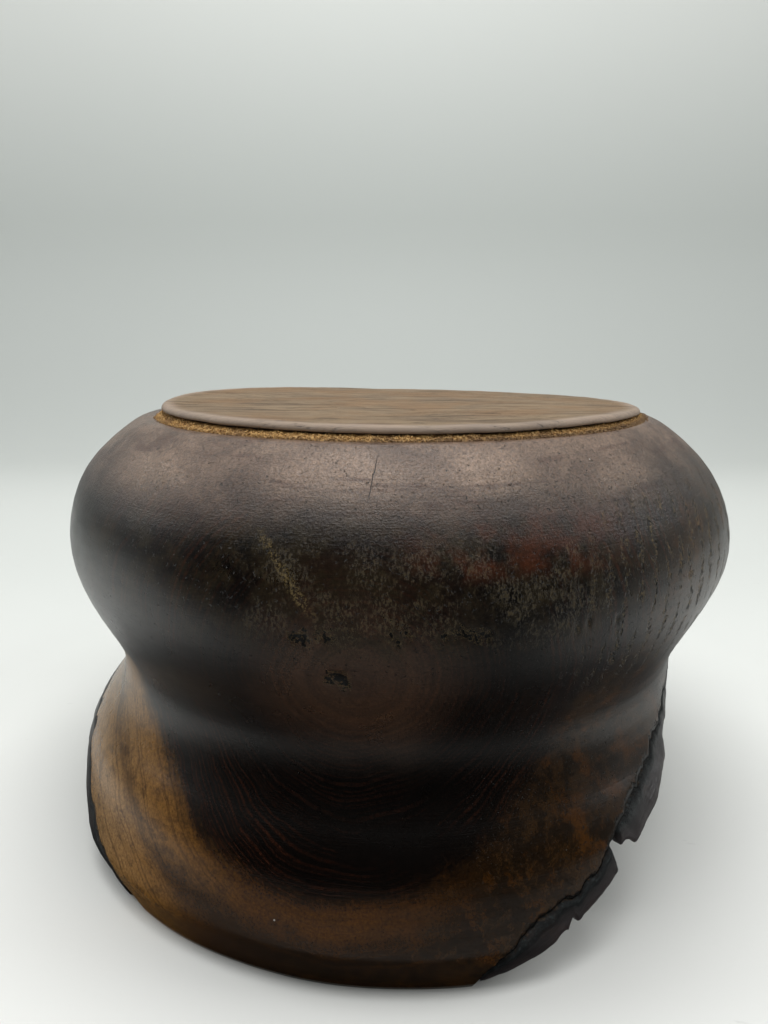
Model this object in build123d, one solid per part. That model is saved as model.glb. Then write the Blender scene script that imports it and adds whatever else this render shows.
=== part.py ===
from build123d import *
import math
import os

# A wooden bowl turned from half a log, standing upside down on its rim.
# Millimetres, +Z up. The origin is on the turning axis, in the plane that the rim rests on.
# X runs across the log and Y runs along it, so the bark edge rises at +X and at -X.

# Driving dimensions
OVERALL_HEIGHT = 126.6  # rim plane to the face of the foot disc
BULGE_RADIUS = 102.3  # widest ring of the belly
BULGE_HEIGHT = 92.5
WAIST_RADIUS = 89.7  # neck between the belly and the flared rim
WAIST_HEIGHT = 51.5
FLARE_RADIUS = 106.5  # widest ring of the flared rim
FLARE_HEIGHT = 12.0
RIM_RADIUS = 103.8
WALL = 8.0  # wall thickness at the rim and at the waist
FLOOR = 13.0  # wood between the cavity and the seat of the foot disc

# Foot: a separate disc that sits in a turned recess, with glue and dust heaped round it
FOOT_RADIUS = 75.0
FOOT_OFFSET_X = 0.8  # the disc is set slightly off the turning axis
FOOT_LIP = 1.8  # thickness of the overhanging plate
FOOT_PLUG = 3.8  # depth of the part that sits in the recess
PLUG_INSET = 2.5  # how far the plate overhangs the plug
RECESS_RADIUS = 76.5
CREST_RADIUS = 79.5  # outside of the flat ring round the recess
CREST_HEIGHT = 123.2
CREST_BEVEL = 0.6
FILLER_GAP = 0.5  # dark gap between the filler and the plate over it

# Bark edge, as heights above the rim plane at distances across the log.
# The wood line is where the wood ends, and the bark line is the outside of the bark.
RIGHT_WOOD_LINE = [
    (16, 0), (23, 9.5), (35, 18), (45.5, 22), (53, 29.5),
    (62, 37), (75, 45.5), (81, 51), (92, 63), (116, 70),
]
RIGHT_BARK_LINE = [
    (8, 0), (28, 5.2), (38, 11), (48, 16.8), (58.5, 25),
    (69.5, 33.6), (80, 47), (92, 58.5), (116, 64),
]
LEFT_WOOD_LINE = [(-66, 0), (-77, 8), (-90, 22), (-97, 35), (-116, 48)]
LEFT_BARK_LINE = [(-75, 0), (-84, 6), (-92, 17), (-99, 30), (-116, 41)]

# Chip that has broken out of the bark at the front right, down to the wood
NOTCH_ANGLE = 30.0  # degrees from the front towards +X
# along the rim, height
NOTCH_OUTLINE = [(-1.6, 30.0), (1.0, 26.2), (16.0, 23.4), (4.0, 14.0), (0.2, 23.5)]

SPAN = 140.0  # longer than the bowl, for cutters
BELOW = -6.0  # bottom of the cutters

SEAT_HEIGHT = OVERALL_HEIGHT - FOOT_LIP - FOOT_PLUG


def outer_curve():
    """Outside of the bowl from the shoulder crest down to the rim."""
    return Spline(
        (CREST_RADIUS, CREST_HEIGHT),
        (BULGE_RADIUS - 14.8, CREST_HEIGHT - 5),
        (BULGE_RADIUS - 5.8, CREST_HEIGHT - 14.5),
        (BULGE_RADIUS, BULGE_HEIGHT),
        (WAIST_RADIUS + 5, WAIST_HEIGHT + 14),
        (WAIST_RADIUS, WAIST_HEIGHT),
        (WAIST_RADIUS + 4, WAIST_HEIGHT - 12),
        (FLARE_RADIUS - 4.5, FLARE_HEIGHT + 16),
        (FLARE_RADIUS, FLARE_HEIGHT),
        (RIM_RADIUS, 0),
        tangents=[(1, -0.35), (-0.35, -1)],
    )


def inner_curve():
    """Inside of the bowl from the rim up to the middle of the cavity."""
    top = SEAT_HEIGHT - FLOOR
    return Spline(
        (RIM_RADIUS - WALL, 0),
        (FLARE_RADIUS - WALL, FLARE_HEIGHT),
        (FLARE_RADIUS - WALL - 5, FLARE_HEIGHT + 17),
        (WAIST_RADIUS - WALL, WAIST_HEIGHT + 1),
        (BULGE_RADIUS - WALL - 7, BULGE_HEIGHT - 18),
        (BULGE_RADIUS - WALL - 12, top - 9),
        (BULGE_RADIUS / 2, top - 1),
        (0, top),
        tangents=[(0.25, 1), (-1, 0)],
    )


def turned_shell():
    """The bowl as it came off the lathe, before the bark edge is cut back."""
    outer = outer_curve()
    inner = inner_curve()
    recess = Polyline(
        inner @ 1,
        (0, SEAT_HEIGHT),
        (RECESS_RADIUS, SEAT_HEIGHT),
        (RECESS_RADIUS, CREST_HEIGHT - CREST_BEVEL),
        (RECESS_RADIUS + CREST_BEVEL, CREST_HEIGHT),
        outer @ 0,
    )
    rim = Line(outer @ 1, inner @ 0)
    section = make_face(Plane.XZ * (outer + rim + inner + recess))
    return revolve(section, Axis.Z)


def below(line):
    """Everything under one bark-edge line, all the way through the log."""
    end_x = line[-1][0]
    start_x = line[0][0]
    edge = Spline(*line)
    under = Polyline(edge @ 1, (end_x, BELOW), (start_x, BELOW), edge @ 0)
    outline = make_face(Plane.XZ * (edge + under))
    return extrude(outline, amount=SPAN, both=True)


def notch():
    """Wedge that parts the right-hand bark at the front."""
    angle = math.radians(NOTCH_ANGLE)
    outward = (math.sin(angle), -math.cos(angle), 0)
    along = (math.cos(angle), math.sin(angle), 0)
    face = Polygon(*NOTCH_OUTLINE, align=None)
    wedge = extrude(face, amount=SPAN, both=True)
    return Plane(origin=(0, 0, 0), x_dir=along, z_dir=outward) * wedge


def foot_disc():
    """Pale disc: an overhanging plate with rounded edges on a plug."""
    plate = Cylinder(FOOT_RADIUS, FOOT_LIP, align=(Align.CENTER, Align.CENTER, Align.MIN))
    plate = fillet(plate.edges(), FOOT_LIP * 0.42)
    return Pos(FOOT_OFFSET_X, 0, SEAT_HEIGHT + FOOT_PLUG) * plate + foot_plug()


def foot_plug():
    """The part of the disc that sits in the recess."""
    plug = Cylinder(
        FOOT_RADIUS - PLUG_INSET,
        FOOT_PLUG,
        align=(Align.CENTER, Align.CENTER, Align.MIN),
    )
    return Pos(FOOT_OFFSET_X, 0, SEAT_HEIGHT) * plug


def foot_joint_filler():
    """Ring of glue and wood dust that is heaped between the plug and the shoulder crest."""
    heap = SEAT_HEIGHT + FOOT_PLUG - FILLER_GAP
    section = make_face(
        Plane.XZ
        * Polyline(
            (0, SEAT_HEIGHT),
            (RECESS_RADIUS, SEAT_HEIGHT),
            (RECESS_RADIUS, CREST_HEIGHT - CREST_BEVEL),
            (RECESS_RADIUS + CREST_BEVEL, CREST_HEIGHT),
            (FOOT_RADIUS + FOOT_OFFSET_X, heap),
            (0, heap),
            close=True,
        )
    )
    return revolve(section, Axis.Z) - foot_plug()


def save(name, shape):
    """Write one named piece."""
    export_step(Compound(shape.solids(), label=name), f"parts/{name}.step")


os.makedirs("parts", exist_ok=True)

shell = turned_shell()
right_wood, right_bark = below(RIGHT_WOOD_LINE), below(RIGHT_BARK_LINE)
left_wood, left_bark = below(LEFT_WOOD_LINE), below(LEFT_BARK_LINE)

right_strips = (shell & (right_wood - right_bark)) - notch()
right_strips = sorted(right_strips.solids(), key=lambda piece: piece.volume)

save("bowl_body", shell - right_wood - left_wood)
save("foot_disc", foot_disc())
save("foot_joint_filler", foot_joint_filler())
save("bark_right_front", right_strips[0])
save("bark_right_side", right_strips[-1])
save("bark_left", shell & (left_wood - left_bark))
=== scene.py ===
import math

import bpy
import numpy as np
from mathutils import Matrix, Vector
from mathutils.bvhtree import BVHTree


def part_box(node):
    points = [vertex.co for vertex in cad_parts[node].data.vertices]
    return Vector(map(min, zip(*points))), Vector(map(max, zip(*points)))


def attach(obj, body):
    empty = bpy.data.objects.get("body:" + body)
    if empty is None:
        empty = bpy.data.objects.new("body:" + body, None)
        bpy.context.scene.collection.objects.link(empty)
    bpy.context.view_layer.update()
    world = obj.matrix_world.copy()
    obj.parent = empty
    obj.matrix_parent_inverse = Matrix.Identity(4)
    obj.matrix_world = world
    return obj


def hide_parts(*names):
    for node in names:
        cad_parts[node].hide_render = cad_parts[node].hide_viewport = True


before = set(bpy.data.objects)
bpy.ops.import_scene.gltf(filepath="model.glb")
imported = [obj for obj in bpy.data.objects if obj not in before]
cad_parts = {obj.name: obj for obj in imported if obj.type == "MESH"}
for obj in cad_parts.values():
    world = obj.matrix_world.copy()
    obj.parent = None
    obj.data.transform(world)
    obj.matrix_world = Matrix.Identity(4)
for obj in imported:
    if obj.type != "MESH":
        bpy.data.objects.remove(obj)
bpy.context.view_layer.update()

# Everything is in metres. The bowl stands upside down on its rim, round the Z axis.
# A "turn" is an angle round that axis, from the front (-Y) towards +X.
MM = 0.001
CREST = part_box("bowl_body")[1].z
CREST_RADIUS = 79.5 * MM  # outside of the flat ring round the foot's recess
FILLER_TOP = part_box("foot_joint_filler")[1].z
FOOT_LOW, FOOT_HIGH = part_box("foot_disc")
SEAT, TOP = FOOT_LOW.z, FOOT_HIGH.z
FOOT_CENTRE_X = (FOOT_LOW.x + FOOT_HIGH.x) / 2
FOOT_RADIUS = (FOOT_HIGH.x - FOOT_LOW.x) / 2
RECESS_RADIUS = FOOT_RADIUS + 1.5 * MM
MIDDLE = 60 * MM  # a height from which the whole turned outline can be seen
FAR = 0.3
OUTSIDE_ANGLES = 38.6, -29.9  # from MIDDLE up to the crest and down to the rim, in degrees
INSIDE_ANGLES = 90, -31.8
INTACT_TURN = math.radians(-20)  # here the wood reaches the rim plane
PITH_X, PITH_Z = -10 * MM, 74 * MM  # centre of the growth rings, which run along Y

rng = np.random.default_rng(7)


# ---- turned outline

def bvh(*names):
    """Ray-casting tree of some CAD nodes."""
    verts, faces = [], []
    for name in names:
        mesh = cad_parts[name].data
        first = len(verts)
        verts += [v.co.copy() for v in mesh.vertices]
        faces += [[first + i for i in p.vertices] for p in mesh.polygons]
    return BVHTree.FromPolygons(verts, faces)


def outwards(turn):
    return Vector((math.sin(turn), -math.cos(turn), 0))


def outline(tree, ends, from_outside):
    """Radius and height of the bowl's surface in one half plane, seen from MIDDLE."""
    centre = Vector((0, 0, MIDDLE))
    points = []
    for angle in np.radians(np.linspace(*ends, 420)):
        ray = outwards(INTACT_TURN) * math.cos(angle) + Vector((0, 0, math.sin(angle)))
        start = centre + ray * FAR if from_outside else centre
        hit = tree.ray_cast(start, -ray if from_outside else ray)[0]
        if hit is not None and hit.z > 0.3 * MM:
            points.append((math.hypot(hit.x, hit.y), hit.z))
    return np.array(points)


def smooth_by_length(points, step=0.25 * MM, spread=1.6 * MM):
    """The same line in even steps, without the facets of the CAD mesh."""
    length = np.concatenate([[0], np.cumsum(np.hypot(*np.diff(points, axis=0).T))])
    even = np.arange(0, length[-1], step)
    line = np.stack([np.interp(even, length, points[:, k]) for k in (0, 1)], 1)
    reach = int(3 * spread / step)
    weights = np.exp(-0.5 * (np.arange(-reach, reach + 1) * step / spread) ** 2)
    padded = np.concatenate([
        2 * line[0] - line[reach:0:-1],
        line,
        2 * line[-1] - line[-2:-reach - 2:-1],
    ])
    return np.stack([
        np.convolve(padded[:, k], weights / weights.sum(), "valid") for k in (0, 1)
    ], 1)


body_tree = bvh("bowl_body")
outer_points = outline(body_tree, OUTSIDE_ANGLES, True)
outer_points = outer_points[outer_points[:, 0] > CREST_RADIUS + 0.2 * MM]
rim_outer = outer_points[-1, 0] - 0.1 * MM
OUTER = smooth_by_length(np.vstack([
    [CREST_RADIUS, CREST],
    outer_points,
    [rim_outer, 0],
]))
inner_points = outline(body_tree, INSIDE_ANGLES, False)
INNER = smooth_by_length(np.vstack([inner_points, [inner_points[-1, 0] - 0.1 * MM, 0]]))
INNER[:, 0] = np.maximum(INNER[:, 0], 0)


class Side:
    """The outside or the inside of the turned wall, by the height of a point on it."""

    def __init__(self, line, facing):
        self.line = line
        self.facing = facing
        self.length = np.linspace(0, 1, len(line))
        tangent = np.gradient(line, axis=0)
        tangent /= np.hypot(*tangent.T)[:, None]
        self.normal = np.stack([-tangent[:, 1], tangent[:, 0]], 1) * facing

    def at(self, share):
        """Radius, height and normal at a share of the way from the top to the rim."""
        point = [np.interp(share, self.length, self.line[:, k]) for k in (0, 1)]
        normal = [np.interp(share, self.length, self.normal[:, k]) for k in (0, 1)]
        return point[0], point[1], normal[0], normal[1]

    def share_at(self, height):
        return np.interp(-height, -self.line[:, 1], self.length)

    def radius_at(self, height):
        return np.interp(-height, -self.line[:, 1], self.line[:, 0])


outside = Side(OUTER, 1)
inside = Side(INNER, -1)


# ---- bark edge from the frame

def touches(tree, turn, height, side):
    """True if a CAD node has its turned surface at this turn and height."""
    out = outwards(turn)
    start = Vector((0, 0, height))
    if side is outside:
        hit = tree.ray_cast(start + out * FAR, -out)[0]
    else:
        hit = tree.ray_cast(start, out)[0]
    if hit is None:
        return False
    return abs(math.hypot(hit.x, hit.y) - side.radius_at(height)) < 0.9 * MM


def extent(tree, turn, side):
    """Lowest and highest height of a node's turned surface along one meridian, or None."""
    heights = np.arange(0.2, 76, 0.6) * MM
    found = [h for h in heights if touches(tree, turn, h, side)]
    if not found:
        return None
    ends = []
    for inner_end, step in ((found[0], -0.6 * MM), (found[-1], 0.6 * MM)):
        near, far = inner_end, inner_end + step
        for _ in range(6):
            middle = (near + far) / 2
            if touches(tree, turn, middle, side):
                near = middle
            else:
                far = middle
        ends.append(max(near, 0.0) if near > 0.25 * MM else 0.0)
    return ends


def waves(x, y, z, size, seed, count=14):
    """Smooth random field from -1 to 1, with features of about this size."""
    draw = np.random.default_rng(seed)
    total = 0
    for _ in range(count):
        direction = draw.normal(size=3)
        direction *= draw.uniform(0.7, 1.4) / np.linalg.norm(direction)
        total = total + np.sin(
            2 * math.pi * (direction[0] * x + direction[1] * y + direction[2] * z) / size
            + draw.uniform(0, 2 * math.pi)
        )
    return total / math.sqrt(count)


def rough(x, y, z, size, seed, octaves=3):
    """Several layers of waves, each half the size and half the height of the last."""
    return sum(
        waves(x, y, z, size / 2 ** k, seed + k) / 2 ** k for k in range(octaves)
    )


# ---- mesh helpers

def finish_mesh(name, verts, faces, material, smooth=True):
    mesh = bpy.data.meshes.new(name)
    mesh.from_pydata([tuple(v) for v in verts], [], [tuple(f) for f in faces])
    mesh.validate()
    mesh.update()
    mesh.materials.append(material)
    mesh.polygons.foreach_set("use_smooth", [smooth] * len(mesh.polygons))
    piece = bpy.data.objects.new(name, mesh)
    bpy.context.scene.collection.objects.link(piece)
    return piece


def add_values(piece, name, values):
    """Stores one number per vertex for the material to read."""
    layer = piece.data.attributes.new(name, "FLOAT", "POINT")
    layer.data.foreach_set("value", np.asarray(values, np.float32).ravel())


def place(turn, radius, height):
    """Points from turns, radii and heights."""
    return np.stack([
        np.sin(turn) * radius,
        -np.cos(turn) * radius,
        height + 0 * radius,
    ], -1)


def grid_faces(columns, rows, wrap_columns, wrap_rows):
    """Quads over a grid of points numbered column by column."""
    across = columns if wrap_columns else columns - 1
    along = rows if wrap_rows else rows - 1
    j, i = np.meshgrid(np.arange(across), np.arange(along), indexing="ij")
    jn, ni = (j + 1) % columns, (i + 1) % rows
    quads = np.stack([j * rows + i, j * rows + ni, jn * rows + ni, jn * rows + i], -1)
    return quads.reshape(-1, 4).tolist()


def turned_piece(name, points, material):
    """Closed body of revolution from columns of points that start and end near the axis."""
    columns, rows = points.shape[:2]
    verts = points.reshape(-1, 3)
    faces = grid_faces(columns, rows, True, False)
    poles = np.stack([points[:, 0].mean(0), points[:, -1].mean(0)])
    first, last = len(verts), len(verts) + 1
    for j in range(columns):
        after = (j + 1) % columns
        faces.append([first, j * rows, after * rows])
        faces.append([last, after * rows + rows - 1, j * rows + rows - 1])
    return finish_mesh(name, np.vstack([verts, poles]), faces, material)


def strip_piece(name, points, material):
    """Closed bar whose cross-sections are rings of points, capped at both ends."""
    columns, rows = points.shape[:2]
    verts = points.reshape(-1, 3)
    faces = grid_faces(columns, rows, False, True)
    caps = np.stack([points[0].mean(0), points[-1].mean(0)])
    first, last = len(verts), len(verts) + 1
    for i in range(rows):
        after = (i + 1) % rows
        faces.append([first, after, i])
        faces.append([last, (columns - 1) * rows + i, (columns - 1) * rows + after])
    return finish_mesh(name, np.vstack([verts, caps]), faces, material)


# ---- shader helpers

class Shader:
    """One material and short ways to add nodes to it."""

    def __init__(self, name):
        self.material = bpy.data.materials.new(name)
        self.material.use_nodes = True
        self.tree = self.material.node_tree
        self.surface = self.tree.nodes["Principled BSDF"]

    def node(self, kind, **settings):
        made = self.tree.nodes.new(kind)
        for key, value in settings.items():
            setattr(made, key, value)
        return made

    def put(self, socket, value):
        """Links a socket, or sets its number or colour."""
        if isinstance(value, bpy.types.NodeSocket):
            self.tree.links.new(value, socket)
        elif isinstance(value, tuple) and len(value) == 3 and len(socket.default_value) == 4:
            socket.default_value = (*value, 1)
        else:
            socket.default_value = value

    def math(self, operation, a, b=0.0, clamp=False):
        made = self.node("ShaderNodeMath", operation=operation, use_clamp=clamp)
        self.put(made.inputs[0], a)
        self.put(made.inputs[1], b)
        return made.outputs[0]

    def add(self, a, b):
        return self.math("ADD", a, b)

    def sub(self, a, b):
        return self.math("SUBTRACT", a, b)

    def times(self, a, b):
        return self.math("MULTIPLY", a, b)

    def scaled(self, value, middle, factor):
        """A value that varies round its middle, turned into one that varies round zero."""
        return self.times(self.sub(value, middle), factor)

    def vector(self, operation, a, b=(0, 0, 0)):
        made = self.node("ShaderNodeVectorMath", operation=operation)
        self.put(made.inputs[0], a)
        self.put(made.inputs[1], b)
        return made.outputs["Value" if operation in ("LENGTH", "DOT_PRODUCT") else "Vector"]

    def split(self, vector):
        made = self.node("ShaderNodeSeparateXYZ")
        self.put(made.inputs[0], vector)
        return made.outputs

    def join(self, x, y, z):
        made = self.node("ShaderNodeCombineXYZ")
        for socket, value in zip(made.inputs, (x, y, z)):
            self.put(socket, value)
        return made.outputs[0]

    def between(self, value, low, high):
        """0 at low, 1 at high, smooth in between."""
        made = self.node("ShaderNodeMapRange", interpolation_type="SMOOTHSTEP")
        for socket, number in zip(made.inputs, (value, low, high, 0.0, 1.0)):
            self.put(socket, number)
        return made.outputs[0]

    def mix(self, share, a, b):
        """Colour from a to b."""
        made = self.node("ShaderNodeMix", data_type="RGBA")
        self.put(made.inputs[0], share)
        self.put(made.inputs[6], a)
        self.put(made.inputs[7], b)
        return made.outputs[2]

    def noise(self, vector, size, detail=3.0, roughness=0.55, **settings):
        """Noise with features of this many millimetres, where the vector is in millimetres."""
        made = self.node("ShaderNodeTexNoise", **settings)
        if settings.get("noise_dimensions") == "1D":
            self.put(made.inputs["W"], vector)
        else:
            self.put(made.inputs["Vector"], vector)
        made.inputs["Scale"].default_value = 1.0 / size
        made.inputs["Detail"].default_value = detail
        made.inputs["Roughness"].default_value = roughness
        return made.outputs[0]

    def cells(self, vector, size, **settings):
        made = self.node("ShaderNodeTexVoronoi", **settings)
        self.put(made.inputs["Vector"], vector)
        made.inputs["Scale"].default_value = 1.0 / size
        return made.outputs

    def ramp(self, value, *stops):
        made = self.node("ShaderNodeValToRGB")
        elements = made.color_ramp.elements
        while len(elements) < len(stops):
            elements.new(0.5)
        for element, (position, colour) in zip(elements, stops):
            element.position = position
            element.color = (*colour, 1)
        self.put(made.inputs[0], value)
        return made.outputs[0]

    def read(self, name):
        return self.node("ShaderNodeAttribute", attribute_name=name).outputs["Fac"]

    def millimetres(self):
        """Position on the object, in millimetres."""
        place_of = self.node("ShaderNodeTexCoord").outputs["Object"]
        return self.vector("MULTIPLY", place_of, (1000, 1000, 1000))

    def bump(self, height, depth_mm, normal=None):
        made = self.node("ShaderNodeBump")
        made.inputs["Strength"].default_value = 1.0
        made.inputs["Distance"].default_value = depth_mm * MM
        self.put(made.inputs["Height"], height)
        if normal is not None:
            self.put(made.inputs["Normal"], normal)
        return made.outputs[0]

    def finish(self, colour, roughness, normal, **constants):
        self.put(self.surface.inputs["Base Color"], colour)
        self.put(self.surface.inputs["Roughness"], roughness)
        self.put(self.surface.inputs["Normal"], normal)
        for key, value in constants.items():
            self.surface.inputs[key.replace("_", " ")].default_value = value
        return self.material


# ---- materials

HEART_BLACK = (0.0024, 0.0013, 0.0008)
HEART_BROWN = (0.040, 0.0190, 0.0095)
HEART_OLIVE = (0.017, 0.0115, 0.0048)
HEART_RED = (0.070, 0.017, 0.0045)
SAP_DEEP = (0.032, 0.0125, 0.0024)
SAP_GOLD = (0.215, 0.102, 0.021)
SAP_PALE = (0.250, 0.142, 0.055)
SAP_ORANGE = (0.060, 0.0200, 0.0010)
SAP_DULL = (0.024, 0.0110, 0.0030)
SAP_SHADE = (0.0095, 0.0046, 0.0014)
# The pale shoulder brown is partly the worn finish and partly painted highlight from the overhead
# light.
SHOULDER = (0.275, 0.186, 0.130)
SHOULDER_DEEP = (0.064, 0.034, 0.021)
SHOULDER_RED = (0.066, 0.028, 0.016)
OCHRE = (0.190, 0.135, 0.055)
RED_PATCH = (0.046, 0.0125, 0.0040)
PORE_BLACK = (0.003, 0.0025, 0.002)
HOLLOW_BROWN = (0.030, 0.019, 0.013)
DUST = (0.42, 0.40, 0.36)


class RingedLog(Shader):
    """Adds the coordinates of the log to a shader: growth rings and fibres."""

    def __init__(self, name):
        super().__init__(name)
        self.p = self.millimetres()
        self.x, self.y, self.z = self.split(self.p)
        pith_x, pith_z = PITH_X / MM, PITH_Z / MM
        self.from_x = self.sub(self.x, pith_x)
        self.from_z = self.sub(self.z, pith_z)
        plain = self.vector("LENGTH", self.join(self.from_x, 0.0, self.from_z))
        wander = self.scaled(self.noise(self.p, 42, 2.0), 0.5, 9.0)
        drift = self.scaled(self.noise(self.moved(31, 77, 5), 13, 3.0), 0.5, 3.0)
        self.ring = self.add(self.add(plain, wander), drift)
        along_log = self.vector("MULTIPLY", self.p, (1.0, 0.12, 1.0))
        self.fibre = self.noise(along_log, 0.8, 3.0, 0.65)
        self.vessel = self.noise(along_log, 0.62, 2.0, 0.6)

    def moved(self, x, y, z):
        return self.vector("ADD", self.p, (x, y, z))

    def window(self, value, low, rise, fall, high):
        """1 between rise and fall, 0 below low and above high."""
        return self.times(self.between(value, low, rise), self.between(value, high, fall))

    def beyond_heart(self):
        """Distance outside the heartwood, which reaches further towards the foot and -X."""
        inverse = self.math("DIVIDE", 1.0, self.add(self.ring, 1.0))
        left = self.math("MAXIMUM", self.times(self.times(self.from_x, inverse), -1.0), 0.0)
        up = self.math("MAXIMUM", self.add(self.times(self.from_z, inverse), 0.22), 0.0)
        reach = self.times(self.add(self.times(left, 50.0), 55.0), up)
        reach = self.add(self.add(reach, 51.0), self.times(self.times(left, left), 17.0))
        return self.sub(self.ring, reach)


def heart_colour(s, fine, cloud):
    """Brown near the pith, nearly black further out, with thin red and brown rings."""
    black = s.between(s.add(s.ring, s.scaled(cloud, 0.5, 24.0)), 11.0, 33.0)
    brown = s.mix(s.between(fine, 0.35, 0.65), HEART_BROWN, (0.027, 0.0135, 0.0075))
    colour = s.mix(black, brown, HEART_BLACK)
    belly = s.times(s.between(s.z, 76.0, 88.0), s.between(s.y, -50.0, -75.0))
    mottle = s.between(s.noise(s.moved(12, 3, 9), 6.5, 5.0, 0.68), 0.40, 0.62)
    colour = s.mix(s.times(belly, s.times(mottle, 0.85)), colour, HEART_OLIVE)
    thread = s.noise(s.ring, 0.85, 2.0, 0.6, noise_dimensions="1D")
    red = s.times(s.between(thread, 0.48, 0.62), s.between(cloud, 0.36, 0.56))
    red = s.times(red, s.between(s.fibre, 0.25, 0.60))
    outer = s.between(s.ring, 34.0, 48.0)
    return s.mix(s.times(red, s.add(s.times(outer, 0.18), 0.15)), colour, HEART_RED)


def sap_colour(s, outside_heart, fine, cloud):
    """Golden on the -X side, dull brown on the +X side, mottled, in soft broad bands."""
    mottle = s.noise(s.vector("MULTIPLY", s.p, (1.0, 0.45, 1.0)), 3.2, 5.0, 0.70)
    band = s.add(outside_heart, s.scaled(fine, 0.5, 3.0))
    band = s.add(s.scaled(mottle, 0.5, 9.0), band)
    narrow = s.times(s.between(s.x, -68.0, -46.0), 5.0)
    inner_gold = s.times(s.between(band, -3.0, 2.5), s.between(s.add(band, narrow), 18.0, 10.0))
    outer_gold = s.times(s.between(band, 12.5, 19.0), s.between(s.x, -42.0, -66.0))
    gold = s.math("MAXIMUM", inner_gold, outer_gold)
    bright = s.mix(s.between(s.x, -32.0, -78.0), SAP_ORANGE, SAP_GOLD)
    bright = s.mix(s.times(s.between(s.x, -60.0, -86.0), 0.9), bright, SAP_PALE)
    left = s.mix(gold, s.mix(s.between(s.x, -20.0, -66.0), SAP_SHADE, SAP_DEEP), bright)
    left = s.mix(s.times(s.between(mottle, 0.48, 0.66), 0.5), left, SAP_DEEP)
    thread = s.noise(s.ring, 0.9, 3.0, 0.7, noise_dimensions="1D")
    left = s.mix(s.times(s.between(thread, 0.50, 0.66), 0.45), left, SAP_DEEP)
    spots = s.between(s.noise(s.moved(9, 50, 3), 7, 5.0, 0.68), 0.50, 0.66)
    clouded = s.add(mottle, s.scaled(cloud, 0.5, 0.6))
    dull = s.mix(s.between(clouded, 0.58, 0.42), SAP_DULL, SAP_SHADE)
    dull = s.mix(s.times(spots, 0.60), dull, SAP_ORANGE)
    return s.mix(s.between(s.x, -14.0, 26.0), left, dull)


def open_pores(s):
    """Open vessels in nearly upright lines on the +X side of the belly."""
    flat_z = s.times(s.sub(s.z, 90.0), 0.7)
    arc = s.vector("LENGTH", s.join(s.from_x, 0.0, flat_z))
    arc = s.add(arc, s.scaled(s.noise(s.moved(3, 3, 3), 15, 4.0, 0.70), 0.5, 4.0))
    across = s.math("FRACT", s.times(arc, 1 / 4.1))
    off_line = s.math("ABSOLUTE", s.sub(across, 0.5))
    weight = s.noise(s.moved(70, 10, 5), 9, 4.0, 0.65)
    outer = s.add(s.times(weight, 1.15), -0.36)
    line = s.between(off_line, outer, s.sub(outer, 0.16))
    broken = s.noise(s.vector("MULTIPLY", s.moved(30, 2, 4), (1.0, 0.3, 0.6)), 1.5, 4.0, 0.7)
    line = s.times(line, s.between(broken, 0.44, 0.53))
    there = s.times(s.window(s.z, 62.0, 78.0, 106.0, 116.0), s.between(s.x, 31.0, 52.0))
    return s.times(line, there)


def ochre_dust(s):
    """Worn ochre lace in the end grain at the front of the belly."""
    belly = s.window(s.z, 78.0, 89.0, 101.0, 110.0)
    width = s.window(s.x, -46.0, -22.0, 30.0, 60.0)
    patch = s.between(s.noise(s.moved(60, 3, 20), 8, 5.0, 0.70), 0.40, 0.60)
    upright = s.vector("MULTIPLY", s.moved(5, 5, 70), (1.3, 1.0, 0.7))
    lace = s.between(s.noise(upright, 0.85, 4.0, 0.80), 0.49, 0.60)
    there = s.times(s.times(belly, width), s.between(s.y, -45.0, -75.0))
    return s.times(s.times(lace, patch), there)


def streak_line(s):
    """One slanting ochre streak at the upper left of the belly."""
    line = s.add(-29.2, s.times(s.sub(105.0, s.z), 0.67))
    off = s.math("ABSOLUTE", s.add(s.sub(s.x, line), s.scaled(s.noise(s.p, 3.0, 3.0), 0.5, 3.5)))
    rows = s.window(s.z, 88.0, 94.0, 104.0, 108.0)
    broken = s.between(s.noise(s.moved(7, 7, 7), 0.7, 4.0, 0.8), 0.48, 0.58)
    front = s.between(s.y, -60.0, -80.0)
    return s.times(s.times(s.between(off, 2.0, 0.5), rows), s.times(broken, front))


# Painted highlights: shoulder patches made paler, and smoother, where the overhead lights reflect:
# turn and half width in degrees, height in millimetres
HIGHLIGHT_PATCHES = [
    (-42, 14, 115), (-9, 14, 117), (13, 11, 118), (36, 12, 114), (120, 30, 114), (215, 40, 115),
]


def highlight_patches(s, turn):
    """Soft patches on the shoulder: painted highlight, paler than the rest, and smoother."""
    total = 0.0
    for at, half_width, height in HIGHLIGHT_PATCHES:
        away = s.times(s.sub(turn, math.radians(at)), 0.5)
        across = s.times(s.math("SINE", away), 2 / math.radians(half_width))
        up = s.times(s.sub(s.z, float(height)), 1 / 7.5)
        off = s.vector("LENGTH", s.join(across, up, 0.0))
        total = s.add(total, s.between(off, 1.25, 0.15))
    uneven = s.scaled(s.noise(s.moved(40, 6, 6), 7, 4.0, 0.65), 0.5, 1.2)
    return s.math("MULTIPLY", total, s.add(0.85, uneven), clamp=True)


def hairline_crack(s):
    """Thin crack that runs down from the foot over the shoulder."""
    line = s.add(-7.6, s.times(s.sub(s.z, 113.0), 0.24))
    off = s.math("ABSOLUTE", s.add(s.sub(s.x, line), s.scaled(s.noise(s.p, 2.4, 3.0), 0.5, 1.2)))
    there = s.times(s.window(s.z, 113.0, 114.0, 119.0, 122.0), s.between(s.y, -60.0, -70.0))
    return s.times(s.between(off, 0.14, 0.05), there)


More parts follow.
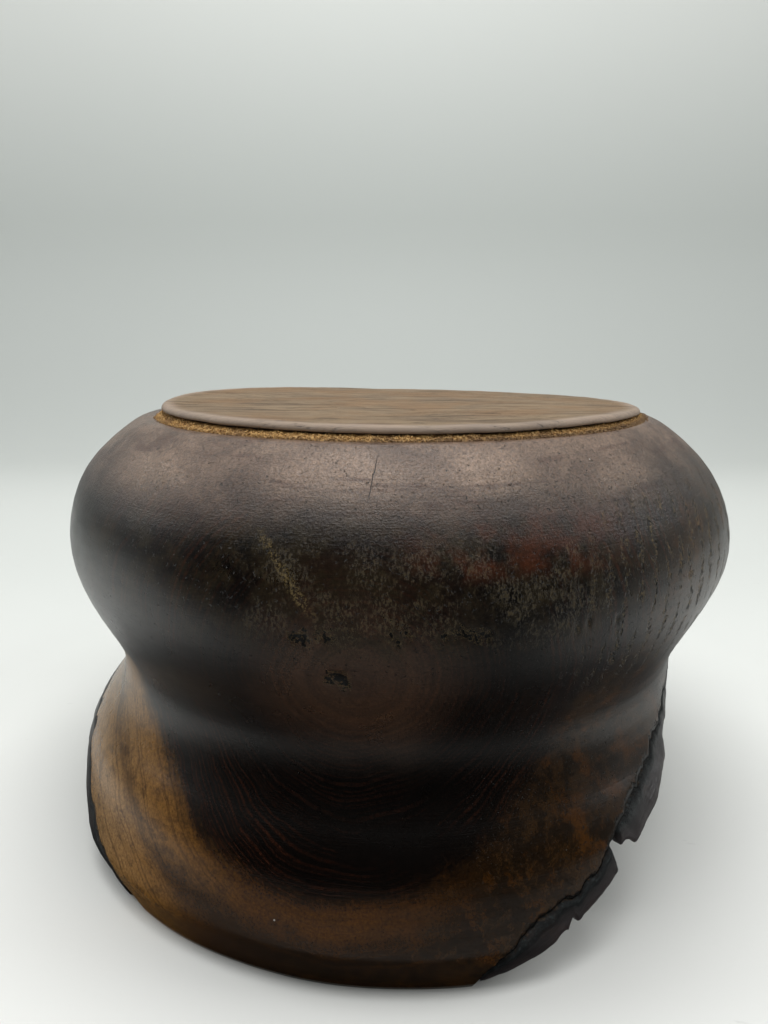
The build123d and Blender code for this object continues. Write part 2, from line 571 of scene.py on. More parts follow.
def body_colour(s, fine, cloud):
    """Heartwood, sapwood and a red patch at the upper right of the belly."""
    outside_heart = s.beyond_heart()
    edge = s.add(outside_heart, s.scaled(s.fibre, 0.5, 8.0))
    sap = s.between(s.add(edge, s.scaled(fine, 0.5, 5.0)), -4.0, 5.0)
    colour = s.mix(sap, heart_colour(s, fine, cloud), sap_colour(s, outside_heart, fine, cloud))
    red = s.times(s.window(s.z, 96.0, 101.0, 107.0, 113.0), s.window(s.x, -6.0, 14.0, 38.0, 56.0))
    red = s.times(red, s.between(s.noise(s.moved(1, 2, 3), 8, 4.0, 0.6), 0.38, 0.60))
    return s.mix(s.times(red, s.between(s.y, -50.0, -70.0)), colour, RED_PATCH)


def shoulder_colour(s, turn, wear, highlight_share):
    """Brown, paler where rubbed and along the crest, and paler still in the painted highlight
    patches, with red streaks; the pale brown is partly wear and partly painted highlight.
    """
    worn = s.between(s.noise(s.moved(8, 1, 6), 13, 5.0, 0.66), 0.36, 0.62)
    # Painted highlight: the shoulder is paler in the highlight patches as well as where it is worn.
    worn = s.math("MAXIMUM", s.times(worn, 0.52), highlight_share)
    crest = s.times(s.between(s.z, 117.5, 121.5), s.times(s.between(wear, 0.36, 0.60), 0.48))
    colour = s.mix(s.math("MAXIMUM", worn, crest), SHOULDER_DEEP, SHOULDER)
    level = s.noise(s.join(s.times(turn, 3.0), s.times(s.z, 0.30), 0.0), 1.0, 4.0, 0.62)
    return s.mix(s.times(s.between(level, 0.52, 0.66), 0.75), colour, SHOULDER_RED)


def pore_holes(s, pore_line):
    """Open vessels, stray specks and the crack."""
    dots = s.noise(s.vector("MULTIPLY", s.moved(0, 9, 0), (1.0, 0.12, 0.55)), 0.62, 2.0, 0.6)
    open_here = s.times(pore_line, s.between(dots, 0.525, 0.56))
    stray = s.times(s.between(s.vessel, 0.66, 0.70), s.between(s.x, 10.0, 45.0))
    speck_place = s.times(s.between(s.z, 70.0, 82.0), s.between(s.y, -45.0, -75.0))
    speck = s.between(s.noise(s.moved(1, 8, 1), 1.0, 3.0, 0.7), 0.64, 0.69)
    speck = s.times(speck, speck_place)
    vessels = s.math("MAXIMUM", open_here, stray)
    return s.math("MAXIMUM", vessels, s.math("MAXIMUM", speck, hairline_crack(s)))


def pit_marks(s):
    """Black hollows of the modelled pits, and the dusty rims round them."""
    pit = s.read("pit")
    ragged = s.add(pit, s.scaled(s.noise(s.moved(6, 6, 6), 0.9, 3.0, 0.7), 0.5, 6.0))
    there = s.between(pit, 0.02, 0.10)
    rim = s.window(ragged, 0.30, 0.42, 0.48, 0.60)
    return s.times(s.between(ragged, 0.52, 0.66), there), s.times(rim, there)


def broken_joint(s):
    """Crumbled wood along the bark."""
    edge = s.read("edge")
    broken = s.add(edge, s.scaled(s.noise(s.moved(4, 2, 8), 1.3, 4.0, 0.75), 0.5, 1.6))
    return s.times(s.between(broken, 0.45, 0.62), s.between(edge, 0.05, 0.20))


def body_relief(s, turn, high, grit, holes, dust):
    """Height of the fine texture: turning scratches, orange peel, grit and holes."""
    scratch = s.noise(s.join(s.times(turn, 2.4), s.times(s.z, 2.6), 0.0), 1.0, 5.0, 0.78)
    peel = s.noise(s.p, 0.55, 3.0, 0.75)
    texture = s.add(s.times(peel, 0.42), s.times(s.fibre, 0.15))
    texture = s.add(s.times(scratch, 0.75), texture)
    relief = s.times(texture, s.add(s.times(high, 0.62), 0.38))
    relief = s.add(relief, s.times(s.times(grit, high), 1.7))
    return s.sub(relief, s.add(s.times(holes, 1.8), s.times(dust, 0.35)))


def body_roughness(s, wear, high, highlight_share, dusty):
    """Satin, duller where dust sits and shinier in the painted highlight patches."""
    roughness = s.add(s.times(wear, 0.22), 0.185)
    roughness = s.sub(roughness, s.times(s.times(highlight_share, high), 0.11))
    duller = s.add(s.times(high, 0.05), s.times(s.between(s.x, 25.0, 80.0), 0.05))
    roughness = s.add(s.add(roughness, duller), s.times(dusty, 0.22))
    return s.sub(roughness, s.times(s.between(s.z, 45.0, 20.0), 0.08))


def body_wood():
    """Dark heartwood round the pith, golden sapwood outside it, worn satin finish, with painted
    highlight on the shoulder.
    """
    s = RingedLog("body_wood")
    turn = s.math("ARCTAN2", s.x, s.times(s.y, -1.0))
    fine = s.noise(s.ring, 2.2, 4.0, 0.65, noise_dimensions="1D")
    cloud = s.noise(s.moved(5, 40, 90), 24, 4.0, 0.6)
    grain = s.noise(s.vector("MULTIPLY", s.p, (1.0, 0.25, 1.0)), 0.6, 4.0, 0.80)
    grit = s.noise(s.moved(3, 90, 8), 0.70, 3.0, 0.75)
    wear = s.noise(s.moved(2, 9, 44), 17, 4.0, 0.62)
    # Painted highlight patches on the shoulder: paler colour and lower roughness.
    highlight_share = highlight_patches(s, turn)
    high = s.between(s.z, 96.0, 112.0)

    # Pale top of the body: partly the worn finish, partly painted highlight from the overhead light;
    # it starts higher towards +X.
    lower = s.times(s.between(s.x, 0.0, 45.0), 3.0)
    worn_and_highlit_top = s.between(s.sub(s.add(s.z, s.scaled(cloud, 0.5, 12.0)), lower), 103.5, 120.5)
    shoulder = shoulder_colour(s, turn, wear, highlight_share)
    colour = s.mix(s.times(worn_and_highlit_top, 0.93), body_colour(s, fine, cloud), shoulder)
    shade = s.math("MAXIMUM", s.sub(s.times(grain, 2.7), 0.33), 0.1)
    colour = s.vector("MULTIPLY", colour, s.join(shade, shade, shade))

    dust = ochre_dust(s)
    pore_line = open_pores(s)
    pits, pit_rims = pit_marks(s)
    crumbs = s.between(s.noise(s.moved(2, 5, 1), 0.7, 3.0, 0.75), 0.47, 0.54)
    colour = s.mix(s.times(dust, 0.26), colour, OCHRE)
    colour = s.mix(s.times(streak_line(s), 0.65), colour, OCHRE)
    colour = s.mix(s.times(s.times(pore_line, crumbs), 0.42), colour, OCHRE)
    colour = s.mix(s.times(pit_rims, 0.45), colour, OCHRE)
    holes = s.math("MAXIMUM", s.math("MAXIMUM", pore_holes(s, pore_line), pits), broken_joint(s))
    colour = s.mix(holes, colour, PORE_BLACK)
    flour = s.between(s.cells(s.moved(11, 7, 3), 14.0)[0], 0.020, 0.012)
    colour = s.mix(s.times(flour, 0.8), colour, DUST)
    hollows = s.times(s.between(grit, 0.48, 0.36), s.times(high, 0.55))
    colour = s.mix(hollows, colour, HOLLOW_BROWN)

    roughness = body_roughness(s, wear, high, highlight_share, s.math("MAXIMUM", dust, pore_line))
    relief = body_relief(s, turn, high, grit, holes, dust)
    return s.finish(colour, roughness, s.bump(relief, 0.15), Specular_IOR_Level=0.43)


def foot_wood():
    """Dull tan wood with streaks along X, short cracks and a greyed edge."""
    s = Shader("foot_wood")
    p = s.millimetres()
    x, y = s.split(p)[:2]
    streak = s.noise(s.vector("MULTIPLY", p, (0.09, 1.0, 1.0)), 4.5, 5.0, 0.66)
    hair = s.noise(s.vector("MULTIPLY", p, (0.06, 1.0, 1.0)), 0.75, 5.0, 0.75)
    cloud = s.noise(p, 26, 4.0, 0.6)
    colour = s.ramp(
        streak,
        (0.34, (0.058, 0.034, 0.017)),
        (0.45, (0.146, 0.096, 0.052)),
        (0.54, (0.232, 0.163, 0.094)),
        (0.65, (0.100, 0.065, 0.037)),
    )
    warm = s.times(s.between(cloud, 0.44, 0.60), 0.6)
    colour = s.mix(warm, colour, (0.190, 0.108, 0.050))
    colour = s.mix(s.times(s.between(hair, 0.50, 0.62), 0.72), colour, (0.052, 0.031, 0.018))
    colour = s.mix(s.times(s.between(hair, 0.46, 0.32), 0.4), colour, (0.300, 0.222, 0.138))
    dash = s.noise(s.vector("MULTIPLY", p, (0.16, 1.0, 1.0)), 1.1, 3.0, 0.65)
    dash_place = s.between(s.noise(s.vector("ADD", p, (9, 4, 2)), 20, 3.0), 0.46, 0.58)
    cracks = s.times(s.between(dash, 0.60, 0.65), dash_place)
    colour = s.mix(s.times(cracks, 0.9), colour, (0.018, 0.012, 0.009))
    centred = s.join(s.math("SUBTRACT", x, FOOT_CENTRE_X / MM), y, 0.0)
    radius = s.add(s.vector("LENGTH", centred), s.scaled(cloud, 0.5, 9.0))
    greyed = s.between(radius, FOOT_RADIUS / MM - 5.5, FOOT_RADIUS / MM - 0.3)
    colour = s.mix(s.times(greyed, 0.60), colour, (0.360, 0.292, 0.242))
    roughness = s.add(s.times(cloud, 0.25), 0.55)
    relief = s.sub(s.times(streak, 0.5), s.times(cracks, 1.2))
    relief = s.sub(relief, s.times(hair, 0.5))
    return s.finish(colour, roughness, s.bump(relief, 0.30), Specular_IOR_Level=0.25)


def joint_filler():
    """Ochre glue and wood dust, different from grain to grain."""
    s = Shader("joint_filler")
    p = s.millimetres()
    speckle = s.noise(p, 0.8, 4.0, 0.75)
    patch = s.noise(p, 7.0, 4.0, 0.6)
    colour = s.ramp(
        speckle,
        (0.34, (0.035, 0.017, 0.006)),
        (0.46, (0.410, 0.225, 0.070)),
        (0.60, (0.780, 0.520, 0.215)),
    )
    colour = s.mix(s.times(s.between(patch, 0.48, 0.66), 0.55), colour, (0.150, 0.078, 0.036))
    from_axis = s.vector("LENGTH", s.vector("MULTIPLY", p, (1, 1, 0)))
    ragged = s.add(from_axis, s.scaled(speckle, 0.5, 5.0))
    dusty = s.between(ragged, RECESS_RADIUS / MM - 0.9, RECESS_RADIUS / MM + 0.3)
    colour = s.mix(s.times(dusty, 0.75), colour, SHOULDER_DEEP)
    return s.finish(colour, 0.85, s.bump(speckle, 0.3))


def bark():
    """Thin coated bark: black and blue-green by the wood, grey-violet outside, streaked, with a
    painted highlight along the free edge.
    """
    s = Shader("bark")
    p = s.millimetres()
    across = s.read("across")
    along = s.read("along")
    streak = s.noise(s.join(s.times(along, 0.10), s.times(across, 13.0), 0.0), 1.0, 5.0, 0.7)
    crumbly = s.noise(p, 1.1, 5.0, 0.75)
    patch = s.noise(p, 8.0, 4.0, 0.6)
    band = s.add(across, s.scaled(patch, 0.5, 0.35))
    colour = s.ramp(
        band,
        (0.0, (0.0035, 0.0035, 0.0035)),
        (0.26, (0.0045, 0.0075, 0.0085)),
        (0.48, (0.0130, 0.0105, 0.0110)),
        (0.90, (0.0300, 0.0225, 0.0235)),
    )
    colour = s.mix(s.times(s.between(streak, 0.48, 0.62), 0.7), colour, (0.0065, 0.0055, 0.0055))
    colour = s.mix(s.times(s.between(patch, 0.55, 0.7), 0.35), colour, (0.045, 0.024, 0.018))
    rust = s.times(s.between(across, 0.16, 0.02), s.between(crumbly, 0.52, 0.60))
    colour = s.mix(rust, colour, (0.125, 0.066, 0.022))
    chips = s.times(s.between(across, 0.45, 0.20), s.between(s.noise(p, 0.8, 3.0, 0.75), 0.54, 0.62))
    colour = s.mix(s.times(chips, 0.7), colour, (0.032, 0.044, 0.046))
    # Painted highlight: a pale grey line along the bark's free edge.
    edge_highlight = s.times(s.between(across, 0.93, 0.99), s.between(s.noise(p, 4.0, 3.0), 0.40, 0.55))
    colour = s.mix(s.times(edge_highlight, 0.5), colour, (0.110, 0.095, 0.085))
    near_wood = s.between(across, 0.42, 0.10)
    roughness = s.add(s.times(crumbly, 0.25), s.add(s.times(near_wood, 0.30), 0.20))
    relief = s.add(s.times(streak, 0.35), s.times(crumbly, s.add(s.times(near_wood, 3.6), 0.10)))
    return s.finish(colour, roughness, s.bump(relief, 0.40))


def studio_white():
    s = Shader("studio_white")
    p = s.millimetres()
    y, z = s.split(p)[1:]
    smudge = s.noise(p, 160, 3.0)
    # Painted light: the floor is paler in front and dimmer towards the back.
    floor_colour = s.mix(s.between(y, -190.0, 250.0), (0.800, 0.805, 0.780), (0.61, 0.63, 0.605))
    floor_colour = s.mix(s.times(smudge, 0.1), floor_colour, (0.55, 0.56, 0.54))
    scuff = s.noise(s.vector("MULTIPLY", p, (0.25, 1.0, 1.0)), 5.0, 4.0, 0.7)
    scuff = s.times(s.between(scuff, 0.66, 0.72), s.between(s.noise(p, 60, 2.0), 0.50, 0.62))
    floor_colour = s.mix(s.times(scuff, 0.25), floor_colour, (0.40, 0.40, 0.39))
    # Painted light and shade: the wall is paler high up near the ceiling lamp and darker low down.
    wall = s.mix(s.between(z, 300.0, 900.0), (0.490, 0.515, 0.495), (0.78, 0.795, 0.765))
    colour = s.mix(s.between(y, 380.0, 900.0), floor_colour, wall)
    return s.finish(colour, 0.6, s.bump(s.noise(p, 2.0, 2.0), 0.02))


BODY_WOOD = body_wood()
FOOT_WOOD = foot_wood()
FILLER = joint_filler()
BARK = bark()


# ---- columns and edges

FINE_COLUMNS, COARSE_COLUMNS = 336, 232


def columns():
    """Turns round the bowl, closer together where the open pores are."""
    fine_from, fine_to = math.radians(-35), math.radians(90)
    fine = np.linspace(fine_from, fine_to, FINE_COLUMNS, endpoint=False)
    coarse = np.linspace(fine_to, fine_from + 2 * math.pi, COARSE_COLUMNS, endpoint=False)
    return np.concatenate([fine, coarse])


TURNS = columns()
bark_trees = {name: bvh(name) for name in ("bark_right_front", "bark_right_side", "bark_left")}


def wood_edge(side):
    """Height where the wood ends at each turn."""
    return np.array([extent(body_tree, turn, side)[0] for turn in TURNS])


def crumble(turn, seed):
    """Ragged line along the joint of bark and wood."""
    r = 100 * MM
    x, y = np.sin(turn) * r, -np.cos(turn) * r
    return rough(x, y, 0 * x, 9 * MM, seed, 5) * 0.65 * MM


EDGE_OUT = wood_edge(outside)
EDGE_IN = wood_edge(inside)
HAS_BARK = np.clip(EDGE_OUT / (6 * MM), 0, 1)
EDGE_OUT = EDGE_OUT + crumble(TURNS, 3) * HAS_BARK
EDGE_IN = EDGE_IN + crumble(TURNS, 8) * np.clip(EDGE_IN / (6 * MM), 0, 1)


# ---- pits and pores in the surface

def pit_list():
    """Turn, height, radius and depth of each pit that is deep enough to be modelled."""
    clusters = [
        (-12.0, 85.2, 1.5, 1.6, 7, 1.15),
        (-9.4, 86.0, 2.4, 1.6, 8, 0.75),
        (7.2, 87.0, 2.4, 2.2, 12, 0.75),
        (-8.2, 75.0, 1.4, 1.3, 7, 1.2),
        (2.0, 87.5, 9.0, 2.4, 9, 0.55),
        (24.0, 84.0, 9.0, 8.0, 9, 0.5),
    ]
    pits = []
    for turn, height, spread_turn, spread_height, count, size in clusters:
        for _ in range(count):
            pits.append((
                math.radians(rng.normal(turn, spread_turn * 0.5)),
                rng.normal(height, spread_height * 0.5) * MM,
                rng.uniform(0.5, 1.1) * size * MM,
                rng.uniform(0.3, 0.7) * MM,
            ))
    return pits


PITS = pit_list()


def pit_depth(turn, radius, height):
    """Depth of the pits at points of the outside."""
    depth = np.zeros_like(height)
    for at_turn, at_height, size, deep in PITS:
        away = (turn - at_turn + math.pi) % (2 * math.pi) - math.pi
        across = away * radius / size
        along = (height - at_height) / size
        depth = np.maximum(depth, deep * np.exp(-(across ** 2 + along ** 2) ** 1.5))
    return depth


# The belly swells a little at the right-hand side
SWELLING = 0.9 * MM
SWELLING_TURN = math.radians(88)
SWELLING_HEIGHT = 84 * MM


def outside_relief(turn, radius, height):
    """How far the outside stands off the smooth turned outline."""
    x, y = np.sin(turn) * radius, -np.cos(turn) * radius
    soft = waves(x, y, height, 46 * MM, 21) * 0.22 * MM
    ridge = np.sin(2 * math.pi * height / (4.3 * MM) + 1.5 * waves(x, y, height, 60 * MM, 5))
    beside = np.clip(np.cos(turn - SWELLING_TURN), 0, 1) ** 3
    swelling = beside * np.exp(-((height - SWELLING_HEIGHT) / (11 * MM)) ** 2)
    return soft + ridge * 0.02 * MM + swelling * SWELLING


LEAN_FROM = 96 * MM  # height where the shoulder starts to lean
LEAN = 0.8 * MM


def lean(points):
    """Moves the shoulder a little to -X, as the wood has warped since it was turned."""
    share = np.clip((points[..., 2] - LEAN_FROM) / (CREST - LEAN_FROM), 0, 1)
    points[..., 0] -= LEAN * share * share * (3 - 2 * share)


# ---- the bowl's body

OUTSIDE_ROWS, INSIDE_ROWS = 132, 22
CROWDING = 0.095  # how much closer the rows of the belly are


def outside_rows():
    """Shares of the way from the crest to the rim, closer together on the belly."""
    even = np.linspace(0, 1, OUTSIDE_ROWS)
    return even - CROWDING * np.sin(2 * math.pi * even)


def body_points():
    turn = TURNS[:, None]
    share = outside.share_at(EDGE_OUT)[:, None] * outside_rows()[None, :]
    radius, height, n_r, n_z = outside.at(share)
    pits = pit_depth(turn, radius, height)
    lift = outside_relief(turn, radius, height) - pits
    from_edge = (height - EDGE_OUT[:, None]) / MM
    lift = lift - 0.35 * MM * np.exp(-(from_edge / 0.6) ** 2) * HAS_BARK[:, None]
    fade = np.clip(share / 0.02, 0, 1)
    outer = place(turn, radius + n_r * lift * fade, height + n_z * lift * fade)

    share = inside.share_at(EDGE_IN)[:, None] * np.linspace(1, 0, INSIDE_ROWS)[None, :] + 0.012
    radius, height, n_r, n_z = inside.at(share)
    x, y = np.sin(turn) * radius, -np.cos(turn) * radius
    lift = waves(x, y, height, 30 * MM, 31) * 0.25 * MM
    inner = place(turn, radius + n_r * lift, height + n_z * lift)

    step = np.linspace(0, 1, 6)[1:-1][None, :, None]
    rim = outer[:, -1:] * (1 - step) + inner[:, :1] * step
    level = rim[..., 2] < 0.6 * MM
    uneven = rough(*np.moveaxis(rim, -1, 0), 5 * MM, 55) * 0.3 * MM
    rim[..., 2] += np.where(level, 0.0, uneven)

    lean(outer)
    one = np.ones_like(turn)
    floor_radii = np.array([3, 30, 55, 70, 75]) * MM
    floor = place(turn, one * floor_radii, one * np.full(5, SEAT))
    wall_heights = np.array([SEAT, SEAT + 1.6 * MM, CREST - 0.3 * MM])
    wall = place(turn, one * np.full(3, RECESS_RADIUS), one * wall_heights)
    for part in (floor, wall):
        part[..., 0] += FOOT_CENTRE_X
    step = np.array([0.12, 0.4, 0.7])[None, :, None]
    flat = wall[:, -1:] * (1 - step) + outer[:, :1] * step
    flat[..., 2] = CREST + np.array([0.05, 0.12, 0.08]) * MM
    top = np.concatenate([floor, wall, flat], 1)
    points = np.concatenate([top, outer, rim, inner], 1)
    points[..., 2] = np.maximum(points[..., 2], 0)
    pit_share = np.zeros(points.shape[:2])
    first = top.shape[1]
    pit_share[:, first:first + outer.shape[1]] = np.clip(pits / (0.35 * MM), 0, 1)
    edge_share = np.zeros(points.shape[:2])
    edge_share[:, first:first + outer.shape[1]] = np.exp(-from_edge / 1.3) * HAS_BARK[:, None]
    return points, pit_share, edge_share


points, pit_share, edge_share = body_points()
bowl = turned_piece("turned_body", points, BODY_WOOD)
add_values(bowl, "pit", np.concatenate([pit_share.ravel(), [0, 0]]))
add_values(bowl, "edge", np.concatenate([edge_share.ravel(), [0, 0]]))
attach(bowl, "root")
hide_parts("bowl_body")


# ---- bark strips

# Chips out of the free edge of the bark: turn and half width in degrees, height in millimetres
NICKS = [(22.4, 0.55, 1.9), (20.6, 0.9, 0.9), (33.0, 0.8, 1.0), (52.6, 2.2, 1.2), (70.0, 1.1, 0.9)]


def bark_low_edge(turn):
    """Chips out of the bark's free edge, as a rise in millimetres."""
    degrees = np.degrees(turn)
    rise = np.zeros_like(degrees)
    for at, width, high in NICKS:
        rise = np.maximum(rise, high * np.exp(-((degrees - at) / width) ** 4))
    x, y = np.sin(turn) * 100 * MM, -np.cos(turn) * 100 * MM
    return (rise + 0.16 * rough(x, y, 0 * x, 9 * MM, 90, 3)) * MM


def strip_edges(node):
    """Turns where a bark strip exists, with its low and high edge outside and inside."""
    tree = bark_trees[node]
    if node == "bark_left":
        turns = np.sort(TURNS % (2 * math.pi))
    else:
        turns = np.sort((TURNS + math.pi) % (2 * math.pi) - math.pi)
    ends = [(extent(tree, turn, outside), extent(tree, turn, inside)) for turn in turns]
    kept = [k for k, (out, into) in enumerate(ends) if out and into]
    wide = [k for k in kept if ends[k][0][1] - ends[k][0][0] > 0.35 * MM]
    kept = [k for k in kept if wide[0] <= k <= wide[-1]]
    turn = turns[kept]
    low, high = np.moveaxis(np.array([ends[k] for k in kept]), -1, 0)
    share = np.clip((high[:, 0] - low[:, 0]) / (4 * MM), 0, 1)[:, None]
    high = high + np.stack([crumble(turn, 3), crumble(turn, 8)], 1) * share
    low = np.minimum(low + bark_low_edge(turn)[:, None] * share, high - 0.1 * MM)
    return turn, low, high


def strip_outside(column, low, high, down):
    """Outer face of a bark strip, rounded off towards the wood and the free edge."""
    share = outside.share_at(high * (1 - down) + low * down)
    radius, height, n_r, n_z = outside.at(share)
    x, y = np.sin(column) * radius, -np.cos(column) * radius
    lift = outside_relief(column, radius, height)
    lift = lift + rough(x, y, height, 6 * MM, 70, 3) * 0.07 * MM * np.minimum(1, 6 * down)
    lift = lift - 0.9 * MM * np.exp(-((height - high) / (0.8 * MM)) ** 2)
    lift = lift - 0.5 * MM * np.exp(-((height - low) / (0.6 * MM)) ** 2)
    return place(column, radius + n_r * lift, height + n_z * lift)


OUTER_ROWS, EDGE_ROWS, INNER_ROWS = 14, 6, 6


def bark_strip(name, node):
    turn, low, high = strip_edges(node)
    column = turn[:, None]
    down = np.linspace(0, 1, OUTER_ROWS)[None, :]
    up = np.linspace(0, 1, INNER_ROWS)[None, :]
    outer = strip_outside(column, low[:, :1], high[:, :1], down)
    height = low[:, 1:] * (1 - up) + high[:, 1:] * up
    radius, height = inside.at(inside.share_at(height))[:2]
    inner = place(column, radius, height)
    step = np.linspace(0, 1, EDGE_ROWS + 2)[1:-1][None, :, None]
    below = outer[:, -1:] * (1 - step) + inner[:, :1] * step
    below[..., 2] += rough(*np.moveaxis(below, -1, 0), 5 * MM, 61) * 0.25 * MM
    above = inner[:, -1:] * (1 - step) + outer[:, :1] * step
    points = np.concatenate([outer, below, inner, above], 1)
    points[..., 2] = np.maximum(points[..., 2], 0)
    piece = strip_piece(name, points, BARK)

    rows = points.shape[1]
    across = np.zeros((len(turn), rows))
    inner_from = OUTER_ROWS + EDGE_ROWS
    across[:, :OUTER_ROWS] = down
    across[:, OUTER_ROWS:inner_from] = 1
    across[:, inner_from:inner_from + INNER_ROWS] = 1 - up
    along = np.repeat(column * 100, rows, 1)
    add_values(piece, "across", np.concatenate([across.ravel(), [0.5, 0.5]]))
    add_values(piece, "along", np.concatenate([along.ravel(), [turn[0] * 100, turn[-1] * 100]]))
    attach(piece, "root")
    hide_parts(node)


bark_strip("front_bark", "bark_right_front")
bark_strip("side_bark", "bark_right_side")
bark_strip("left_bark", "bark_left")


# ---- foot disc

# How far the warped plate stands above its nominal height along its edge, by turn in degrees
PLATE_WARP = [
    (-180, -1.5), (-160, -0.2), (-140, 1.0), (-107, 1.7), (-85, 0.9), (-50, 0.8), (-20, 0.2),
    (15, 0.1), (50, 0.6), (85, -0.7), (120, -1.0), (140, -1.8), (160, -1.0), (180, -1.5),
]


def plate_warp(turn, radius):
    degrees = (np.degrees(turn) + 180) % 360 - 180
    nodes = np.array(PLATE_WARP)
    spread = np.linspace(-15, 15, 7)
    edge = sum(
        np.interp((degrees + s + 180) % 360 - 180, nodes[:, 0], nodes[:, 1]) for s in spread
    ) / len(spread)
    return edge * MM * (radius / FOOT_RADIUS) ** 1.6


def foot_points():
    turns = np.linspace(0, 2 * math.pi, 420, endpoint=False)[:, None]
    plate = (FOOT_HIGH.z - FOOT_LOW.z) * 0.32
    over, under = plate * 0.72, plate * 0.28
    worn = 1.5 * MM  # width of the rounded-over edge of the face
    flat = FOOT_RADIUS - worn
    falling = np.radians(np.linspace(90, 0, 12))[1:]
    returning = np.radians(np.linspace(0, -90, 5))[1:]
    plug = FOOT_RADIUS - 2.6 * MM
    radii = np.concatenate([
        np.linspace(0.02, 1, 46) * flat,
        flat + worn * np.cos(falling),
        FOOT_RADIUS - under + under * np.cos(returning),
        [plug, plug, 30 * MM, 2 * MM],
    ])
    heights = np.concatenate([
        np.full(46, TOP),
        TOP - over + over * np.sin(falling),
        TOP - over + under * np.sin(returning),
        [TOP - plate, SEAT, SEAT, SEAT],
    ])
    radius = radii[None, :] + 0 * turns
    height = heights[None, :] + 0 * turns
    x, y = np.sin(turns) * radius, -np.cos(turns) * radius
    upper = np.clip((height - SEAT) / (TOP - plate - SEAT), 0, 1)
    rim_part = np.clip((radius - 66 * MM) / (8 * MM), 0, 1) * upper
    radius = radius + rim_part * waves(x, y, 0 * x, 34 * MM, 40) * 0.2 * MM
    dent = rough(x, y, 0 * x, 18 * MM, 47, 4) * 0.05 * MM
    height = height + upper * (plate_warp(turns, radius) + dent)
    points = place(turns, radius, height)
    points[..., 0] += FOOT_CENTRE_X
    return points


foot = turned_piece("base_disc", foot_points(), FOOT_WOOD)
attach(foot, "root")
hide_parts("foot_disc")


# ---- filler round the foot

def crumb(centre, size, draw):
    """One lumpy grain: an octahedron with moved corners."""
    corners = np.array([
        (1, 0, 0), (-1, 0, 0), (0, 1, 0), (0, -1, 0), (0, 0, 1), (0, 0, -1)
    ], float)
    corners *= draw.uniform(0.6, 1.2, (6, 1)) * size
    return corners + draw.normal(0, 0.15, (6, 3)) * size + centre


CRUMB_FACES = [
    (0, 2, 4), (2, 1, 4), (1, 3, 4), (3, 0, 4), (2, 0, 5), (1, 2, 5), (3, 1, 5), (0, 3, 5)
]


GRAINS = 9000


def filler_piece():
    """A rough sloping ring, with loose grains heaped on it and over the shoulder."""
    count, rows = 480, 12
    turns = np.linspace(0, 2 * math.pi, count, endpoint=False)[:, None]
    one = np.ones_like(turns)
    inner, outer = FOOT_RADIUS - 2.0 * MM, RECESS_RADIUS - 0.05 * MM
    share = np.linspace(0, 1, rows)[None, :]
    radius = inner * (1 - share) + outer * share + 0 * turns
    x, y = np.sin(turns) * radius, -np.cos(turns) * radius
    lumps = rough(x, y, 0 * x, 3.6 * MM, 81, 4) * 0.16 * MM
    under_plate = plate_warp(turns, FOOT_RADIUS) * 0.8
    slope = FILLER_TOP + under_plate * (1 - share) - (FILLER_TOP - CREST) * share ** 2.4
    height = slope + lumps * np.sin(math.pi * np.clip(share + 0.15, 0, 1))
    top = place(turns, radius, height)
    low = one * np.full(2, SEAT + 0.2 * MM)
    bottom = place(turns, one * np.array([RECESS_RADIUS - 0.3 * MM, inner]), low)
    ring = np.concatenate([top, bottom], 1)
    verts = ring.reshape(-1, 3)
    faces = grid_faces(count, rows + 2, True, True)
    grains = []
    for _ in range(GRAINS):
        turn = rng.uniform(0, 2 * math.pi)
        spot = rng.beta(2.2, 1.2) + abs(rng.normal(0, 0.17))
        r = inner + spot * (outer - inner)
        column = int(turn / (2 * math.pi) * count) % count
        if spot < 1:
            h = height[column, int(spot * (rows - 1))]
        else:
            h = CREST
        size = rng.uniform(0.12, 0.36) * MM
        centre = np.array([math.sin(turn) * r, -math.cos(turn) * r, h + size * 0.3])
        first = len(verts) + len(grains) * 6
        grains.append(crumb(centre, size, rng))
        faces += [[first + i for i in f] for f in CRUMB_FACES]
    verts = np.vstack([verts, *grains])
    verts[:, 0] += FOOT_CENTRE_X
    return finish_mesh("glue_and_dust", verts, faces, FILLER, smooth=False)


filler = filler_piece()
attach(filler, "root")
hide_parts("foot_joint_filler")


# ---- studio

def backdrop():
    """Floor that curves up into a wall behind the bowl."""
    half, front, bend_start, bend = 2.6, -2.4, 0.62, 0.32
    profile = [(front, 0.0), (bend_start, 0.0)]
    for k in range(1, 15):
        a = math.radians(90 * k / 14)
        profile.append((bend_start + bend * math.sin(a), bend * (1 - math.cos(a))))
    profile.append((bend_start + bend, 2.4))
    verts = [(x, y, z) for y, z in profile for x in (-half, half)]
    faces = [(2 * k, 2 * k + 1, 2 * k + 3, 2 * k + 2) for k in range(len(profile) - 1)]
    sweep = finish_mesh("studio_floor", verts, faces, studio_white())


CARD_RING = 0.185


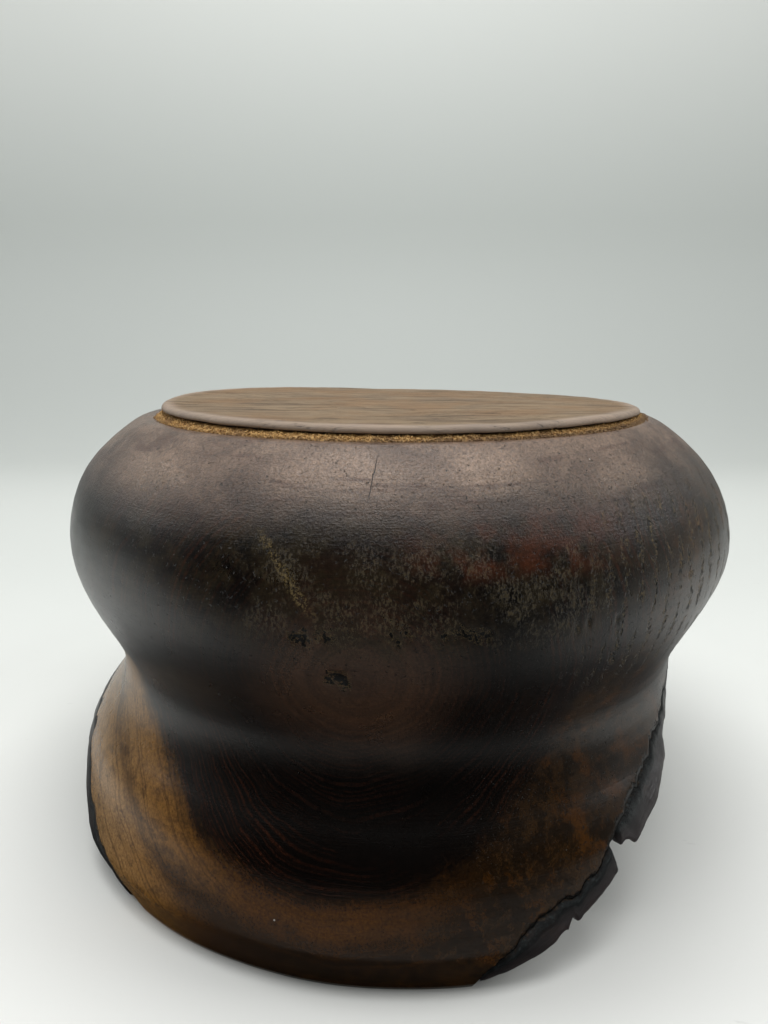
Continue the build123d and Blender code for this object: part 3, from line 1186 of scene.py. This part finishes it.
def dark_cards():
    """Cards that only reflections see: a floor round the bowl with the bowl's contact shadow painted
    on, a floor in front with painted shade that darkens further out, and a black wall in front.
    """
    s = Shader("card_black")
    p = s.millimetres()
    y = s.split(p)[1]
    # Painted shade: the floor card in front darkens further from the bowl.
    dim = s.mix(s.between(y, -260.0, -150.0), (0.004, 0.004, 0.004), (0.16, 0.165, 0.16))
    # Painted contact shadow: the ring round the bowl darkens close to it.
    painted_contact_shadow = s.between(s.vector("LENGTH", p), CARD_RING / MM, 118.0)
    floor = s.mix(painted_contact_shadow, (0.66, 0.67, 0.65), (0.03, 0.03, 0.03))
    dim = s.mix(s.between(y, -130.0, -128.0), dim, floor)
    material = s.finish(dim, 1.0, s.bump(0.0, 0.0))
    near, far, half, high, lift = -0.13, -0.75, 1.6, 0.85, 0.003
    verts = [(-half, near, lift), (half, near, lift), (-half, far, lift), (half, far, lift)]
    verts += [(-half, far, high), (half, far, high)]
    faces = [(0, 1, 3, 2), (2, 3, 5, 4)]
    count = 48
    turns = np.linspace(0, 2 * math.pi, count, endpoint=False)
    ring = [
        (radius * math.sin(a), max(-radius * math.cos(a), near), 0.001)
        for radius in (0.100, CARD_RING) for a in turns
    ]
    first = len(verts)
    for k in range(count):
        a, b = first + k, first + (k + 1) % count
        faces.append((a, b, b + count, a + count))
    cards = finish_mesh("dark_cards", verts + ring, faces, material, smooth=False)
    cards.visible_camera = False
    cards.visible_shadow = False
    cards.visible_diffuse = False


def softbox(name, place_at, aim, size, power, reflected=True):
    light = bpy.data.lights.new(name, "AREA")
    light.shape = "RECTANGLE"
    light.size, light.size_y = size
    light.energy = power
    lamp = bpy.data.objects.new(name, light)
    lamp.location = place_at
    lamp.rotation_euler = (Vector(aim) - Vector(place_at)).to_track_quat("-Z", "Y").to_euler()
    lamp.visible_glossy = reflected
    bpy.context.scene.collection.objects.link(lamp)


def world_light(strength):
    world = bpy.data.worlds.new("room")
    bpy.context.scene.world = world
    world.use_nodes = True
    ground = world.node_tree.nodes["Background"]
    ground.inputs["Color"].default_value = (0.93, 0.97, 0.95, 1)
    ground.inputs["Strength"].default_value = strength


def camera():
    """A close camera, placed so that the foot has the photo's outline through a 26 mm lens."""
    data = bpy.data.cameras.new("camera")
    data.sensor_width = 36
    data.lens = 26.016
    data.clip_start = 0.01
    eye = bpy.data.objects.new("camera", data)
    eye.location = (-4.26 * MM, -244.84 * MM, 146.34 * MM)
    eye.rotation_euler = (math.radians(90 - 13.18), 0, 0)
    bpy.context.scene.collection.objects.link(eye)
    bpy.context.scene.camera = eye


camera()
backdrop()
dark_cards()
softbox("ceiling", (-0.02, 0.03, 1.15), (-0.02, 0.03, 0), (0.88, 0.92), 13.1)
softbox("left_wall", (-1.15, 0.25, 0.85), (0, 0, 0.1), (0.6, 0.60), 4.7)
softbox("right_wall", (1.15, 0.08, 0.90), (0, 0, 0.1), (0.6, 0.55), 5.4)
softbox("front_fill", (0.15, -0.95, 0.75), (0, 0, 0), (1.4, 0.8), 2.0, reflected=False)
world_light(0.17)
bpy.context.scene.view_settings.view_transform = "Standard"
